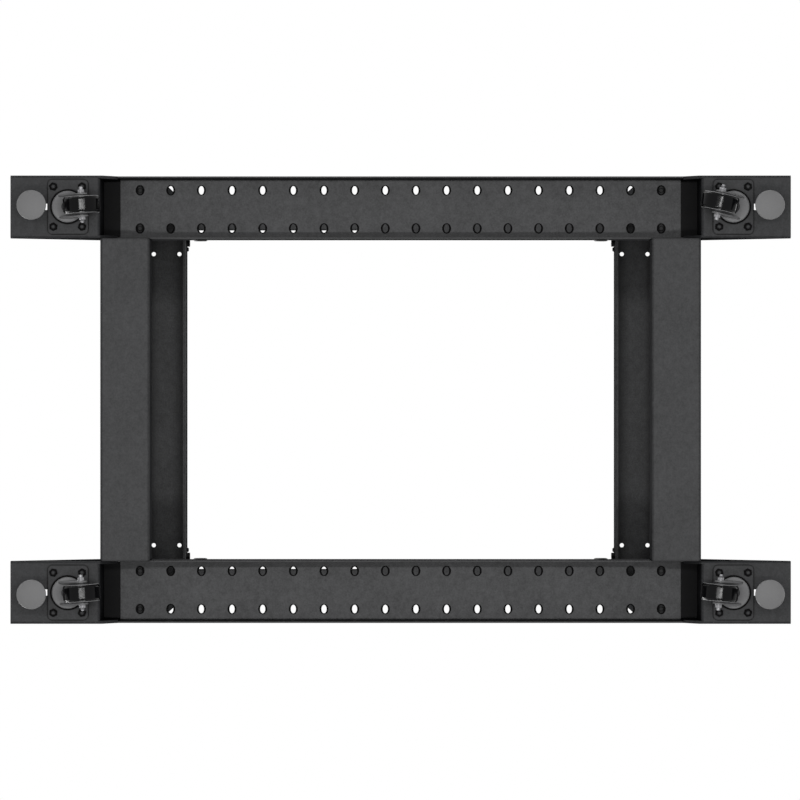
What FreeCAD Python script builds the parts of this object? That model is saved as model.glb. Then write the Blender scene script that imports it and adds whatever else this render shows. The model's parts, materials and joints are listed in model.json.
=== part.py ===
"""Four post open frame rack for 19-inch equipment, 25 units high, on casters and levelling feet.

Millimetres, +Z up, +X to the right seen from the front, front towards -Y. The origin is the
middle of the footprint, on the surface that the levelling pads stand on.

Two side rails with outrigger feet carry four posts. Channels across the front and rear join
the two sides at the bottom and the top, and a telescoping channel joins the posts at the top of
each side. Every corner is the mirror image of the others, apart from the caster's swivel angle.
"""

import FreeCAD, Part
import math
import os

V = FreeCAD.Vector

# ---------------------------------------------------------------- driving dimensions
overall_width = 600.0
foot_reach = 118.0               # of the outrigger feet, out from the posts' mounting faces
sheet = 2.0                      # folded steel of the frame
bend = 1.5                       # inner radius of every fold
seat_gap = 0.3                   # clearance between pieces that are bolted together

unit = 44.45                     # one rack unit
units = 25
rack_opening = 450.0             # clear width between the mounting flanges
hole_centres = 465.1             # square hole columns, left to right
square_hole = 9.5
unit_holes = (6.35, 22.225, 38.1)  # hole centres above the bottom of a unit
unit_clearance = 0.75            # from the last unit to the top channel

rail_width = 84.0                # side rail and outrigger foot, across
rail_height = 68.0               # side rail, over its web and flanges
rail_half_length = 380.0
rail_end_gap = 22.0              # from the rail's end to the foot's plate where it turns up
slot_pairs = 18
slot_margin = 26.74              # from the rail's end to its first slots
slot_width = 7.0
slot_length = 11.6
slot_rows = 51.6                 # between the two rows of slots
flank_hole = 9.0                 # holes in the rail's outer flange, one for each pair of slots
flank_hole_drop = 34.0           # below the rail's web

foot_level = 73.0                # underside of the outrigger foot
foot_tip_wall = 12.0             # height of the foot's side walls at the tip
riser_bend = 3.0                 # inner radius where the foot's plate turns up under the post
wall_notch = 31.0                # rise of the walls' lower edge from the plate to the rail
foot_doubler = 2.0               # strips that stiffen the foot's walls beside that bend
foot_slot_width = 8.4
foot_slot_length = 16.0
foot_slot_reach = 68.2           # out from the posts' mounting faces

cross_depth = 66.0               # front to back size of the channels across the rack
cross_height = 66.0
cross_lip = 5.0                  # returns along the free edges of the top channel
top_hole_radius = 3.3
top_hole_spread = 459.0          # left to right
top_hole_pair = 40.5             # front to back

post_depth = 78.5
post_lip = 12.0                  # return at the edge of the mounting flange
post_back_flange = 48.0          # width of the post's rear flange

side_outer_flange = 36.0         # telescoping channel, outer member
side_inner_flange = 28.7
side_height = 60.0
side_outer_end = 48.0            # free end of the outer member, in front of the middle
side_inner_end = 100.0           # free end of the inner member, behind the middle
side_tab_reach = 44.0            # width of the bolted end tab
side_slot_pitch = 41.56          # adjusting slots in the members' webs
side_slot_length = 13.0
side_slot_width = 9.0
side_slot_corner = 2.25          # cut off each corner of an adjusting slot
side_slot_margin = 25.0          # from the free end of a member to its first slot

leveller_reach = 85.2            # out from the posts' mounting faces
stud_radius = 5.0
stud_fit = 0.05
stud_top = 112.0
pad_radius = 19.5
pad_height = 6.0
boss_radius = 9.0
boss_height = 8.0
stud_flats = 14.0                # hexagon above the boss that turns the foot
stud_hex_height = 7.0
weld_nut_flats = 17.0
weld_nut_height = 8.0

caster_reach = 41.0              # out from the posts' mounting faces
caster_plate_length = 73.2
caster_plate_width = 54.0
caster_plate_thickness = 2.5
caster_plate_corner = 6.0
caster_bolt_spread = 53.6        # left to right
caster_bolt_pair = 38.4          # front to back
caster_bolt_radius = 3.3
race_radius = 23.0
race_height = 3.8
swivel_gap = 0.3
fork_disc_radius = 20.0
fork_disc_thickness = 3.0
kingpin_radius = 5.0
kingpin_fit = 0.05
kingpin_head_radius = 8.0
kingpin_head_height = 2.6
fork_gap = 27.0                  # between the fork's legs
fork_leg_thickness = 2.0
fork_leg_top = 30.0              # length of a leg where it leaves the disc
fork_boss_radius = 9.0
wheel_radius = 25.0
wheel_width = 19.5
hub_width = 26.4
guard_radius = 22.5              # light discs that flank the wheel
guard_thickness = 2.5
hub_radius = 8.0
tread_crown = 2.0                # drop of the tread from its flat to its edges
tread_flat = 12.0
wheel_clearance = 2.5            # under the wheel while the pads carry the rack
caster_trail = 21.0
axle_radius = 3.0
axle_fit = 0.05
axle_length = 48.0
axle_head_flats = 9.0
axle_head_height = 5.0
swivel_angles = {"front_left": -3.5, "front_right": -3.0, "rear_left": 5.0, "rear_right": 12.0}

# ---------------------------------------------------------------- places that follow
half_width = overall_width / 2
rail_inner = half_width - rail_width
corner_x = half_width - rail_width / 2
rail_top = foot_level + wall_notch + rail_height
cross_outer = rail_half_length + rail_end_gap
post_face = cross_outer + sheet
post_back = post_face - post_depth
half_depth = post_face + foot_reach
caster_place = post_face + caster_reach
leveller_place = post_face + leveller_reach
unit_base = rail_top + sheet
unit_top = unit_base + units * unit
cross_top_bottom = unit_top + unit_clearance
overall_height = cross_top_bottom + cross_height
cross_inner = cross_outer - cross_depth
cross_middle = (cross_outer + cross_inner) / 2
first_slot = rail_half_length - slot_margin
slot_pitch = 2 * first_slot / (slot_pairs - 1)
slot_columns = (corner_x - slot_rows / 2, corner_x + slot_rows / 2)
caster_plate_bottom = foot_level - caster_plate_thickness
race_bottom = caster_plate_bottom - race_height
fork_top = race_bottom - swivel_gap
fork_bottom = fork_top - fork_disc_thickness
axle_height = wheel_clearance + wheel_radius

CORNERS = [(end + "_" + side, sx, sy)
           for end, sy in (("front", -1), ("rear", 1))
           for side, sx in (("left", -1), ("right", 1))]
ALONG_X = (V(0, 1, 0), V(0, 0, 1), V(1, 0, 0))      # profile across Y and Z, length along X
ALONG_Y = (V(1, 0, 0), V(0, 0, 1), V(0, -1, 0))     # profile across X and Z, length along -Y
ALONG_Z = (V(1, 0, 0), V(0, 1, 0), V(0, 0, 1))      # profile in plan, length along Z
TURNED = (V(0, 1, 0), V(-1, 0, 0), V(0, 0, 1))      # a quarter turn in plan
FEW_SIDES = 12                                       # of plain round holes that repeat many times


# ---------------------------------------------------------------- shared shapes
def placed(shape, axes, origin):
    """Turns a shape so that its X, Y and Z follow the three given axes, and moves it."""
    u, v, w = axes
    matrix = FreeCAD.Matrix(u.x, v.x, w.x, origin.x,
                            u.y, v.y, w.y, origin.y,
                            u.z, v.z, w.z, origin.z,
                            0, 0, 0, 1)
    turned = shape.copy()
    turned.Placement = FreeCAD.Placement(matrix)
    return turned


def chain(points, radii):
    """Edges of a polyline whose inner corners are rounded to the given radii."""
    edges = []
    start = points[0]
    for before, corner, after, radius in zip(points, points[1:], points[2:], radii):
        back = (before - corner).normalize()
        ahead = (after - corner).normalize()
        half = back.getAngle(ahead) / 2
        reach = radius / math.tan(half)
        middle = (back + ahead).normalize()
        arc_start = corner + back * reach
        arc_end = corner + ahead * reach
        arc_middle = corner + middle * (radius / math.sin(half) - radius)
        edges.append(Part.LineSegment(start, arc_start).toShape())
        edges.append(Part.Arc(arc_start, arc_middle, arc_end).toShape())
        start = arc_end
    edges.append(Part.LineSegment(start, points[-1]).toShape())
    return edges


def folded(points, thickness=sheet, inner_radius=bend):
    """Section of a folded sheet: the face that lies to the left of the polyline."""
    path = [V(u, v, 0) for u, v in points]
    steps = [(b - a).normalize() for a, b in zip(path, path[1:])]
    normals = [V(-s.y, s.x, 0) for s in steps]
    other = [path[0] + normals[0] * thickness]
    near, far = [], []
    for corner, a, b, na, nb in zip(path[1:], steps, steps[1:], normals, normals[1:]):
        spread = (na + nb) * (1.0 / (1.0 + na.dot(nb)))
        other.append(corner + spread * thickness)
        left_turn = a.cross(b).z > 0
        near.append(inner_radius + thickness if left_turn else inner_radius)
        far.append(inner_radius if left_turn else inner_radius + thickness)
    other.append(path[-1] + normals[-1] * thickness)
    edges = chain(path, near)
    edges.append(Part.LineSegment(path[-1], other[-1]).toShape())
    edges += chain(other[::-1], far[::-1])
    edges.append(Part.LineSegment(other[0], path[0]).toShape())
    return Part.Face(Part.Wire(Part.__sortEdges__(edges)))


def folded_bar(points, axes, origin, length):
    """A folded sheet of constant section."""
    return placed(folded(points).extrude(V(0, 0, length)), axes, origin)


def plate(points, axes, origin, thickness):
    """A flat plate with the outline given by the points."""
    outline = Part.makePolygon([V(u, v, 0) for u, v in points + points[:1]])
    return placed(Part.Face(outline).extrude(V(0, 0, thickness)), axes, origin)


def slot_cutter(x, y, length, width, low, high):
    """Upright cutter for a slot along X, with round ends."""
    reach, r = (length - width) / 2, width / 2
    edges = []
    for side in (1, -1):
        edges.append(Part.LineSegment(V(-side * reach, side * r, 0), V(side * reach, side * r, 0)))
        edges.append(Part.Arc(V(side * reach, side * r, 0), V(side * (reach + r), 0, 0),
                              V(side * reach, -side * r, 0)))
    outline = Part.Wire([edge.toShape() for edge in edges])
    return placed(Part.Face(outline).extrude(V(0, 0, high - low)), ALONG_Z, V(x, y, low))


def prism(sides, flats, height, base, axis):
    """A regular prism on a base point, along an axis, its size given over two opposite sides."""
    corner = flats / 2 / math.cos(math.pi / sides)
    turns = [2 * math.pi * index / sides for index in range(sides + 1)]
    outline = Part.makePolygon([V(corner * math.cos(a), corner * math.sin(a), 0) for a in turns])
    body = Part.Face(outline).extrude(V(0, 0, height))
    body.Placement = FreeCAD.Placement(base, FreeCAD.Rotation(V(0, 0, 1), axis))
    return body


def caster_bolt_cutters(x, y, low, high):
    """Upright cutters for the four bolts of a caster plate centred on x and y."""
    return [Part.makeCylinder(caster_bolt_radius, high - low,
                              V(x + i * caster_bolt_spread / 2, y + j * caster_bolt_pair / 2, low))
            for i in (-1, 1) for j in (-1, 1)]


def mirrored(shape, sx, sy):
    """A shape of the right rear corner, mirrored to another corner."""
    if sx < 0:
        shape = shape.mirror(V(0, 0, 0), V(1, 0, 0))
    if sy < 0:
        shape = shape.mirror(V(0, 0, 0), V(0, 1, 0))
    return shape


# ---------------------------------------------------------------- frame
def side_rail():
    """Channel with its web on top and two rows of slots along its whole length."""
    bottom = rail_top - rail_height
    section = [(half_width, bottom), (half_width, rail_top), (rail_inner, rail_top), (rail_inner, bottom)]
    rail = folded_bar(section, ALONG_Y, V(0, rail_half_length, 0), 2 * rail_half_length)
    cutters = []
    for index in range(slot_pairs):
        y = index * slot_pitch - first_slot
        for x in slot_columns:
            cutters.append(slot_cutter(x, y, slot_length, slot_width, rail_top - 2 * sheet, rail_top + sheet))
        flank = V(half_width - 2 * sheet, y, rail_top - flank_hole_drop)
        cutters.append(prism(FEW_SIDES, flank_hole, 3 * sheet, flank, V(1, 0, 0)))
    return rail.cut(Part.makeCompound(cutters))


def foot_wall_cutter():
    """Block that leaves the side walls of a foot wedge-shaped, low at the tip."""
    outline = [(half_depth + sheet, foot_level + foot_tip_wall), (post_face, rail_top),
               (post_face, rail_top + sheet), (half_depth + sheet, rail_top + sheet)]
    return plate(outline, ALONG_X, V(rail_inner - sheet, 0, 0), rail_width + 2 * sheet)


def foot_root_cutter():
    """Block that cuts the walls' lower edge back from the foot's plate up to the side rail."""
    outline = [(rail_half_length - sheet, foot_level - sheet), (post_face - sheet, foot_level - sheet),
               (post_face - sheet, foot_level), (rail_half_length, foot_level + wall_notch),
               (rail_half_length - sheet, foot_level + wall_notch)]
    return plate(outline, ALONG_X, V(rail_inner - sheet, 0, 0), rail_width + 2 * sheet)


def outrigger_foot():
    """Foot that carries a caster and a levelling foot: a tray whose plate turns up under the post."""
    walls = [(rail_inner, rail_top), (rail_inner, foot_level), (half_width, foot_level), (half_width, rail_top)]
    tray = folded_bar(walls, ALONG_Y, V(0, half_depth, 0), half_depth - rail_half_length)
    edge = sheet + bend
    turn_end = cross_outer + sheet + riser_bend + bend
    gap = Part.makeBox(rail_width - 2 * edge, turn_end - rail_half_length, 2 * edge,
                       V(rail_inner + edge, rail_half_length, foot_level - edge))
    turn = folded([(cross_outer, rail_top), (cross_outer, foot_level), (turn_end, foot_level)], sheet, riser_bend)
    riser = placed(turn.extrude(V(0, 0, rail_width - 2 * edge)), ALONG_X, V(rail_inner + edge, 0, 0))
    doublers = [Part.makeBox(foot_doubler, cross_outer - rail_half_length, rail_top - foot_level,
                             V(x, rail_half_length, foot_level))
                for x in (rail_inner + sheet, half_width - sheet - foot_doubler)]
    foot = tray.cut(gap).fuse(doublers).cut([foot_wall_cutter(), foot_root_cutter()]).fuse(riser)
    slot = slot_cutter(0, 0, foot_slot_length, foot_slot_width, -sheet, 2 * sheet)
    holes = [placed(slot, TURNED, V(corner_x, post_face + foot_slot_reach, foot_level))]
    holes += caster_bolt_cutters(corner_x, caster_place, foot_level - sheet, foot_level + 2 * sheet)
    nut = prism(6, weld_nut_flats, weld_nut_height, V(corner_x, leveller_place, foot_level + sheet), V(0, 0, 1))
    foot = foot.cut(Part.makeCompound(holes)).fuse(nut)
    bore = Part.makeCylinder(stud_radius + stud_fit, weld_nut_height + 3 * sheet,
                             V(corner_x, leveller_place, foot_level - sheet))
    return foot.cut(bore).removeSplitter()


def base_cross():
    """Bottom channel between the side rails, open above, closed by a tab at each end."""
    top = foot_level + cross_height
    section = [(cross_inner, top), (cross_inner, foot_level), (cross_outer, foot_level), (cross_outer, top)]
    channel = folded_bar(section, ALONG_X, V(-rail_inner, 0, 0), 2 * rail_inner)
    tabs = [Part.makeBox(sheet, cross_depth - 2 * sheet, cross_height - sheet,
                         V(x, cross_inner + sheet, foot_level + sheet))
            for x in (-rail_inner, rail_inner - sheet)]
    return channel.fuse(tabs)


def top_cross():
    """Top channel between the posts, open below, its free edges returned, two holes near each end."""
    half_length = half_width - sheet - bend
    section = [(cross_outer - cross_lip, cross_top_bottom), (cross_outer, cross_top_bottom),
               (cross_outer, overall_height), (cross_inner, overall_height),
               (cross_inner, cross_top_bottom), (cross_inner + cross_lip, cross_top_bottom)]
    channel = folded_bar(section, ALONG_X, V(-half_length, 0, 0), 2 * half_length)
    holes = [Part.makeCylinder(top_hole_radius, 3 * sheet,
                               V(x * top_hole_spread / 2, cross_middle + y * top_hole_pair / 2,
                                 overall_height - 2 * sheet))
             for x in (-1, 1) for y in (-1, 1)]
    return channel.cut(Part.makeCompound(holes))


def post():
    """Post of folded sheet: mounting flange with square holes, outer web and rear flange."""
    mount_edge = rack_opening / 2
    section = [(mount_edge, post_face - post_lip), (mount_edge, post_face), (half_width, post_face),
               (half_width, post_back), (half_width - post_back_flange, post_back)]
    height = overall_height - rail_top
    body = folded_bar(section[::-1], ALONG_Z, V(0, 0, rail_top), height)
    lip_relief = Part.makeBox(sheet + bend + seat_gap, post_lip, cross_height + unit_clearance,
                              V(mount_edge, post_face - sheet - post_lip, unit_top))
    sole = Part.makeBox(half_width - sheet - mount_edge, rail_half_length - post_back - sheet, sheet,
                        V(mount_edge, post_back + sheet, rail_top))
    column = hole_centres / 2
    cutters = [lip_relief]
    for index in range(units):
        for rise in unit_holes:
            z = unit_base + index * unit + rise
            cutters.append(Part.makeBox(square_hole, 3 * sheet, square_hole,
                                        V(column - square_hole / 2, post_face - 2 * sheet, z - square_hole / 2)))
    for x in slot_columns:
        cutters.append(slot_cutter(x, first_slot, slot_length, slot_width, rail_top - sheet, rail_top + 2 * sheet))
    return body.fuse(sole).cut(Part.makeCompound(cutters))


def side_member(inset, flange, near_end, far_end):
    """One member of a telescoping top rail, a channel open towards the inside of the rack."""
    web = half_width - sheet - seat_gap - inset
    low = overall_height - side_height - seat_gap + inset
    high = overall_height - seat_gap - inset
    section = [(web - flange, low), (web, low), (web, high), (web - flange, high)]
    member = folded_bar(section, ALONG_Y, V(0, far_end, 0), far_end - near_end)
    count = int((far_end - near_end - 2 * side_slot_margin) // side_slot_pitch) + 1
    free_end, inwards = (near_end, 1) if far_end > -near_end else (far_end, -1)
    reach, half, cut = side_slot_length / 2, side_slot_width / 2, side_slot_corner
    outline = [(reach, half - cut), (reach - cut, half), (cut - reach, half), (-reach, half - cut),
               (-reach, cut - half), (cut - reach, -half), (reach - cut, -half), (reach, cut - half)]
    slots = []
    for index in range(count):
        y = free_end + inwards * (side_slot_margin + index * side_slot_pitch)
        slots.append(plate(outline, ALONG_X, V(web - 2 * sheet, y, (low + high) / 2), 3 * sheet))
    return member.cut(Part.makeCompound(slots))


def side_tab():
    """End tab of a top side rail, bolted to the rear flange of the post."""
    reach = half_width - sheet - seat_gap
    low = overall_height - side_height - seat_gap
    return Part.makeBox(side_tab_reach, sheet, side_height, V(reach - side_tab_reach, post_back - sheet, low))


def side_outer():
    """Outer member, from the rear post to in front of the middle."""
    return side_member(0.0, side_outer_flange, -side_outer_end, post_back - sheet).fuse(side_tab())


def side_inner():
    """Inner member, from the front post to behind the middle, inside the outer one."""
    channel = side_member(sheet + seat_gap, side_inner_flange, sheet - post_back, side_inner_end)
    return channel.fuse(mirrored(side_tab(), 1, -1))


# ---------------------------------------------------------------- levelling feet
def levelling_foot():
    """Round pad, boss and threaded stud that screws through the outrigger foot."""
    centre = V(corner_x, leveller_place, 0)
    pad = Part.makeCylinder(pad_radius, pad_height, centre)
    boss = Part.makeCone(boss_radius + boss_height / 2, boss_radius, boss_height, centre + V(0, 0, pad_height))
    turner = prism(6, stud_flats, stud_hex_height, centre + V(0, 0, pad_height + boss_height), V(0, 0, 1))
    stud = Part.makeCylinder(stud_radius, stud_top, centre)
    return pad.fuse([boss, turner, stud])


# ---------------------------------------------------------------- casters, trailing towards -Y
def caster_plate():
    """Mounting plate with the upper race and the kingpin that the fork turns on."""
    half_l, half_w, r = caster_plate_length / 2, caster_plate_width / 2, caster_plate_corner
    base = Part.makeBox(caster_plate_length, caster_plate_width, caster_plate_thickness,
                        V(-half_l, -half_w, caster_plate_bottom))
    upright = [edge for edge in base.Edges if edge.BoundBox.ZLength > caster_plate_thickness / 2]
    base = base.makeFillet(r, upright)
    race = Part.makeCylinder(race_radius, race_height, V(0, 0, race_bottom))
    pin_bottom = fork_bottom - kingpin_head_height - swivel_gap
    pin = Part.makeCylinder(kingpin_radius, caster_plate_bottom - pin_bottom, V(0, 0, pin_bottom))
    head = Part.makeCylinder(kingpin_head_radius, kingpin_head_height, V(0, 0, pin_bottom))
    holes = caster_bolt_cutters(0, 0, caster_plate_bottom - sheet, foot_level + sheet)
    return base.cut(Part.makeCompound(holes)).fuse([race, pin, head])


def fork_leg(x):
    """One leg of the fork: wide where it leaves the disc, tangent to a round eye at the axle."""
    half, r = fork_leg_top / 2, fork_boss_radius
    eye = V(-caster_trail, axle_height, 0)
    edges = []
    for sign in (-1, 1):
        root = V(sign * half, fork_bottom, 0)
        away = root - eye
        turn = math.acos(r / away.Length)
        angle = math.atan2(away.y, away.x) - sign * turn
        edges.append(Part.LineSegment(root, eye + V(math.cos(angle), math.sin(angle), 0) * r).toShape())
    low = eye + V(0, -r, 0)
    ends = [edge.Vertexes[1].Point for edge in edges]
    edges.append(Part.Arc(ends[0], low, ends[1]).toShape())
    edges.append(Part.LineSegment(V(-half, fork_bottom, 0), V(half, fork_bottom, 0)).toShape())
    outline = Part.Wire(Part.__sortEdges__(edges))
    return placed(Part.Face(outline).extrude(V(0, 0, fork_leg_thickness)), ALONG_X, V(x, 0, 0))


def caster_fork():
    """Fork: a disc that turns on the kingpin, with two legs that hold the axle."""
    disc = Part.makeCylinder(fork_disc_radius, fork_disc_thickness, V(0, 0, fork_bottom))
    legs = [fork_leg(-fork_gap / 2 - fork_leg_thickness), fork_leg(fork_gap / 2)]
    bore = Part.makeCylinder(kingpin_radius + kingpin_fit, 3 * fork_disc_thickness,
                             V(0, 0, fork_bottom - fork_disc_thickness))
    axle_bore = Part.makeCylinder(axle_radius + axle_fit, axle_length,
                                  V(-axle_length / 2, -caster_trail, axle_height), V(1, 0, 0))
    return disc.fuse(legs).cut(Part.makeCompound([bore, axle_bore]))


def caster_axle():
    """Axle bolt with its head and nut."""
    half = axle_length / 2
    middle = V(0, -caster_trail, axle_height)
    pin = Part.makeCylinder(axle_radius, axle_length, middle - V(half, 0, 0), V(1, 0, 0))
    seat = fork_gap / 2 + fork_leg_thickness + axle_fit
    ends = [prism(6, axle_head_flats, axle_head_height, middle + V(sign * seat, 0, 0), V(sign, 0, 0))
            for sign in (-1, 1)]
    return pin.fuse(ends)


def turned_solid(profile):
    """Solid turned about the wheel's axle from a profile of distances from the middle and radii."""
    points = [V(radius, along, 0) for along, radius in profile]
    solid = Part.Face(Part.makePolygon(points + points[:1])).revolve(V(0, 0, 0), V(0, 1, 0), 360)
    return placed(solid, (V(0, 1, 0), V(1, 0, 0), V(0, 0, -1)), V(0, -caster_trail, axle_height))


def caster_wheel():
    """Wheel with a crowned tread and a hub bored for the axle."""
    half, hub, flat = wheel_width / 2, hub_width / 2, tread_flat / 2
    edge, bore = wheel_radius - tread_crown, axle_radius + axle_fit
    return turned_solid([(-hub, bore), (-hub, hub_radius), (-half, hub_radius), (-half, edge),
                         (-flat, wheel_radius), (flat, wheel_radius), (half, edge), (half, hub_radius),
                         (hub, hub_radius), (hub, bore)])


def wheel_guards():
    """Two discs that flank the wheel, inside the fork."""
    bore = hub_radius + axle_fit
    discs = []
    for sign in (-1, 1):
        near, far = sign * wheel_width / 2, sign * (wheel_width / 2 + guard_thickness)
        discs.append(turned_solid([(near, bore), (near, guard_radius), (far, guard_radius), (far, bore)]))
    return Part.makeCompound(discs)


def at_corner(shape, name, sx, sy):
    """A caster piece, turned to its rest angle and moved to its corner, trailing inwards."""
    angle = swivel_angles[name] + (180 if sy < 0 else 0)
    turned = shape.copy()
    turned.Placement = FreeCAD.Placement(V(sx * corner_x, sy * caster_place, 0),
                                         FreeCAD.Rotation(V(0, 0, 1), angle)).multiply(shape.Placement)
    return turned


# ---------------------------------------------------------------- assembly
def build():
    """Every piece of the rack, by name."""
    pieces = {}
    for side, sx in (("left", -1), ("right", 1)):
        pieces["side_rail_" + side] = mirrored(side_rail(), sx, 1)
        pieces["top_rail_outer_" + side] = mirrored(side_outer(), sx, 1)
        pieces["top_rail_inner_" + side] = mirrored(side_inner(), sx, 1)
    for end, sy in (("front", -1), ("rear", 1)):
        pieces["base_cross_" + end] = mirrored(base_cross(), 1, sy)
        pieces["top_cross_" + end] = mirrored(top_cross(), 1, sy)
    for name, sx, sy in CORNERS:
        pieces["foot_" + name] = mirrored(outrigger_foot(), sx, sy)
        pieces["post_" + name] = mirrored(post(), sx, sy)
        pieces["levelling_foot_" + name] = mirrored(levelling_foot(), sx, sy)
        plate_shape = caster_plate()
        plate_shape.translate(V(sx * corner_x, sy * caster_place, 0))
        pieces["caster_plate_" + name] = plate_shape
        pieces["caster_fork_" + name] = at_corner(caster_fork(), name, sx, sy)
        pieces["caster_axle_" + name] = at_corner(caster_axle(), name, sx, sy)
        pieces["caster_wheel_" + name] = at_corner(caster_wheel(), name, sx, sy)
        pieces["wheel_guards_" + name] = at_corner(wheel_guards(), name, sx, sy)
    return pieces


os.makedirs("parts", exist_ok=True)
for node, shape in build().items():
    shape.exportStep("parts/" + node + ".step")
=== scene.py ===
"""Four post open frame rack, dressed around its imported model.

Metres, +Z up, the front towards -Y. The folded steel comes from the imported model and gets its
finish here. Bolts, nuts, threads, the caster's yoke and the moulded wheels and pads are shaped
here from primitives, and every copy has a mesh of its own.
"""

import json
import logging
import math
from contextlib import contextmanager
from dataclasses import dataclass, replace
from enum import Enum
from typing import Callable, Iterator, Sequence

import bmesh
import bpy
from mathutils import Matrix, Vector


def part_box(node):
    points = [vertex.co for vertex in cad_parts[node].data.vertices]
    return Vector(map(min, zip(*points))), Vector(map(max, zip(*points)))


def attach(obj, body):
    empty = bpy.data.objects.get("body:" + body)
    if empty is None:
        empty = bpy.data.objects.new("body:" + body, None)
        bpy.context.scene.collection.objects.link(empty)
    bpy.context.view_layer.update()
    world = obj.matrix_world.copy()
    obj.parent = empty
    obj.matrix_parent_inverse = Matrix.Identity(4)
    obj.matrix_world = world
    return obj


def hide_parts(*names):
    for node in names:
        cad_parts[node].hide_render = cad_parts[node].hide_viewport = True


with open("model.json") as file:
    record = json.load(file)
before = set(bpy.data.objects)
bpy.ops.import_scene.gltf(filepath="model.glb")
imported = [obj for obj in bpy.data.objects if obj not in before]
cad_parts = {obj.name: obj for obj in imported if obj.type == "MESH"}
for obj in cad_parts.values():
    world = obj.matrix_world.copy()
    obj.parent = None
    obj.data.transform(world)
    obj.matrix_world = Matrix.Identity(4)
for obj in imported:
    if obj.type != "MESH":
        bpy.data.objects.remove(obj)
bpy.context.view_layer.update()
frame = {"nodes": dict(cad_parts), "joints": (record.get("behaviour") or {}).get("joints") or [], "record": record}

LOG = logging.getLogger("rack")
UP = Vector((0, 0, 1))
DOWN = Vector((0, 0, -1))
SQUARE = (-1, 1)
MILLIMETRES = 1000

Piece = bpy.types.Object
Socket = bpy.types.NodeSocket
Colour = tuple[float, float, float]
Outline = Sequence[tuple[float, float]]


class Corner(Enum):
    """The four corners of the rack."""

    FRONT_LEFT = "front_left"
    FRONT_RIGHT = "front_right"
    REAR_LEFT = "rear_left"
    REAR_RIGHT = "rear_right"

    @property
    def end_name(self) -> str:
        """Front or rear."""
        return self.value.split("_")[0]

    @property
    def side_name(self) -> str:
        """Left or right."""
        return self.value.split("_")[1]

    @property
    def side(self) -> int:
        """-1 on the left, 1 on the right."""
        return -1 if self.side_name == "left" else 1

    @property
    def end(self) -> int:
        """-1 at the front, 1 at the rear."""
        return -1 if self.end_name == "front" else 1


class Slot(Enum):
    """The record's material slots."""

    FRAME = "frame_powder"
    ZINC = "zinc_steel"
    PAD = "foot_pad"
    WHEEL = "wheel_nylon"


class Element(Enum):
    """What is picked in edit mode."""

    FACE = "FACE"
    EDGE = "EDGE"


# ------------------------------------------------------------------ shader nodes
class Graph:
    """Builds a tree of shader nodes."""

    def __init__(self, tree: bpy.types.NodeTree) -> None:
        """Takes the tree that it builds in."""
        self.tree = tree

    @classmethod
    def cleared(cls, owner: bpy.types.ID) -> "Graph":
        """The emptied tree of a material or a world.

        Args:
            owner: the material or the world.

        Returns:
            The tree, with no nodes in it.
        """
        owner.use_nodes = True
        owner.node_tree.nodes.clear()
        return cls(owner.node_tree)

    def add(self, kind: str, inputs: dict | None = None, **settings: object) -> bpy.types.Node:
        """Adds a node.

        Args:
            kind: the node's type, without ShaderNode in front.
            inputs: what its inputs get, by name or number. A socket is linked, anything else is set.
            settings: the node's own settings.

        Returns:
            The node.
        """
        node = self.tree.nodes.new("ShaderNode" + kind)
        for name, value in settings.items():
            setattr(node, name, value)
        for name, value in (inputs or {}).items():
            if isinstance(value, Socket):
                self.tree.links.new(value, node.inputs[name])
            else:
                node.inputs[name].default_value = value
        return node

    def mix(self, factor: Socket, first: object, second: object) -> Socket:
        """Mixes two colours.

        Args:
            factor: share of the second colour.
            first: a socket or a colour.
            second: a socket or a colour.

        Returns:
            The mixed colour's socket.
        """
        node = self.tree.nodes.new("ShaderNodeMix")
        node.data_type = "RGBA"
        self.tree.links.new(factor, node.inputs["Factor"])
        for socket, value in ((node.inputs[6], first), (node.inputs[7], second)):
            if isinstance(value, tuple):
                socket.default_value = value
            else:
                self.tree.links.new(value, socket)
        return node.outputs[2]


class Group(Graph):
    """Builds a shader node group that the finishes share."""

    def __init__(self, name: str) -> None:
        """Starts a group.

        Args:
            name: the group's name.
        """
        super().__init__(bpy.data.node_groups.new(name, "ShaderNodeTree"))
        self.inputs = self.tree.nodes.new("NodeGroupInput")
        self.outputs = self.tree.nodes.new("NodeGroupOutput")

    def number_in(self, name: str, value: float) -> Socket:
        """Adds a number to the group's inputs.

        Args:
            name: the input's name.
            value: its value where nothing else is given.

        Returns:
            The socket inside the group that carries it.
        """
        socket = self.tree.interface.new_socket(name, in_out="INPUT", socket_type="NodeSocketFloat")
        socket.default_value = value
        return self.inputs.outputs[name]

    def number_out(self, name: str, source: Socket) -> None:
        """Sends the number of a socket out of the group, under a name."""
        self.tree.interface.new_socket(name, in_out="OUTPUT", socket_type="NodeSocketFloat")
        self.tree.links.new(source, self.outputs.inputs[name])

    def noise(self, scale: float, detail: float, roughness: float = 0.5) -> Socket:
        """Adds noise that lies still on the piece.

        Args:
            scale: features for each metre.
            detail: octaves of finer noise.
            roughness: strength of the finer octaves.

        Returns:
            The noise's socket.
        """
        place = self.add("TexCoord").outputs["Object"]
        shape = {"Vector": place, "Scale": scale, "Detail": detail, "Roughness": roughness}
        return self.add("TexNoise", shape).outputs["Fac"]

    def math(self, operation: str, first: object, second: object) -> Socket:
        """The socket of two sockets or numbers combined by an operation of the Math node."""
        return self.add("Math", {0: first, 1: second}, operation=operation).outputs["Value"]

    def ramp(self, source: Socket, low: float, high: float) -> Socket:
        """The socket of a range of values, from low to high, stretched to 0..1 and clamped."""
        return self.add("MapRange", {"Value": source, "From Min": low, "From Max": high}).outputs["Result"]


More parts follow.
